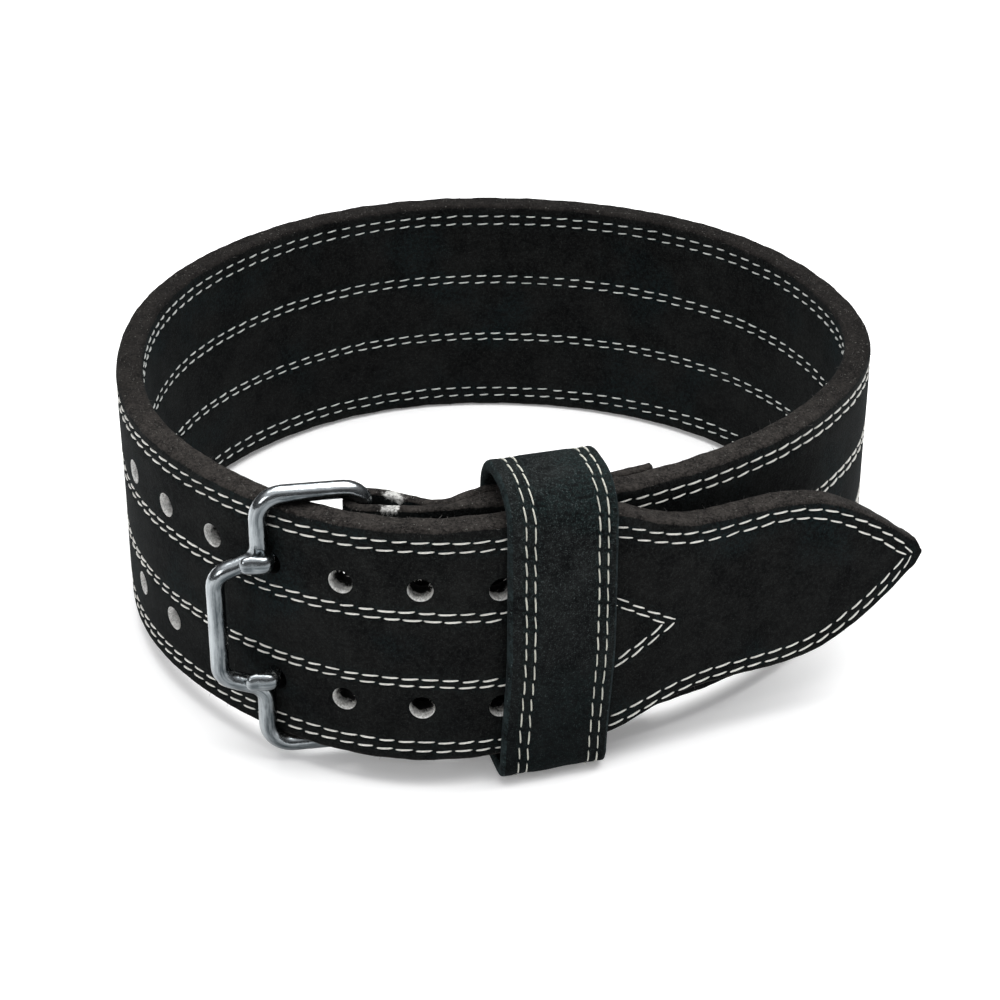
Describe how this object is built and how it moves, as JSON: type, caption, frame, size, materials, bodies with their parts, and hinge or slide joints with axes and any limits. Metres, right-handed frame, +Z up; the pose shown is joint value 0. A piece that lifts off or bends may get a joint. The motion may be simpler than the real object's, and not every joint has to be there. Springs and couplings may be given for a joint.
{
  "type": "weightlifting belt",
  "caption": "Wide black suede weightlifting belt, fastened in a loop by a wire buckle with two prongs, its pointed tail held by a keeper.",
  "frame": {"origin": "bottom centre of the bounding box, on the surface that the belt stands on", "axes": "+Z up, along the strap's width; +X to the wearer's left, towards the free tail; -Y is the front with the buckle"},
  "size_m": [0.319, 0.2994, 0.1268],
  "materials": {
    "suede": "black suede, napped",
    "keeper_suede": "black suede, napped",
    "plated_wire": "bright plating",
    "thread": "twisted off-white thread"
  },
  "bodies": {
    "root": {"belt_strap": "suede", "buckle_frame": "plated_wire", "prong_upper": "plated_wire", "prong_lower": "plated_wire", "keeper": "keeper_suede"}
  },
  "joints": []
}
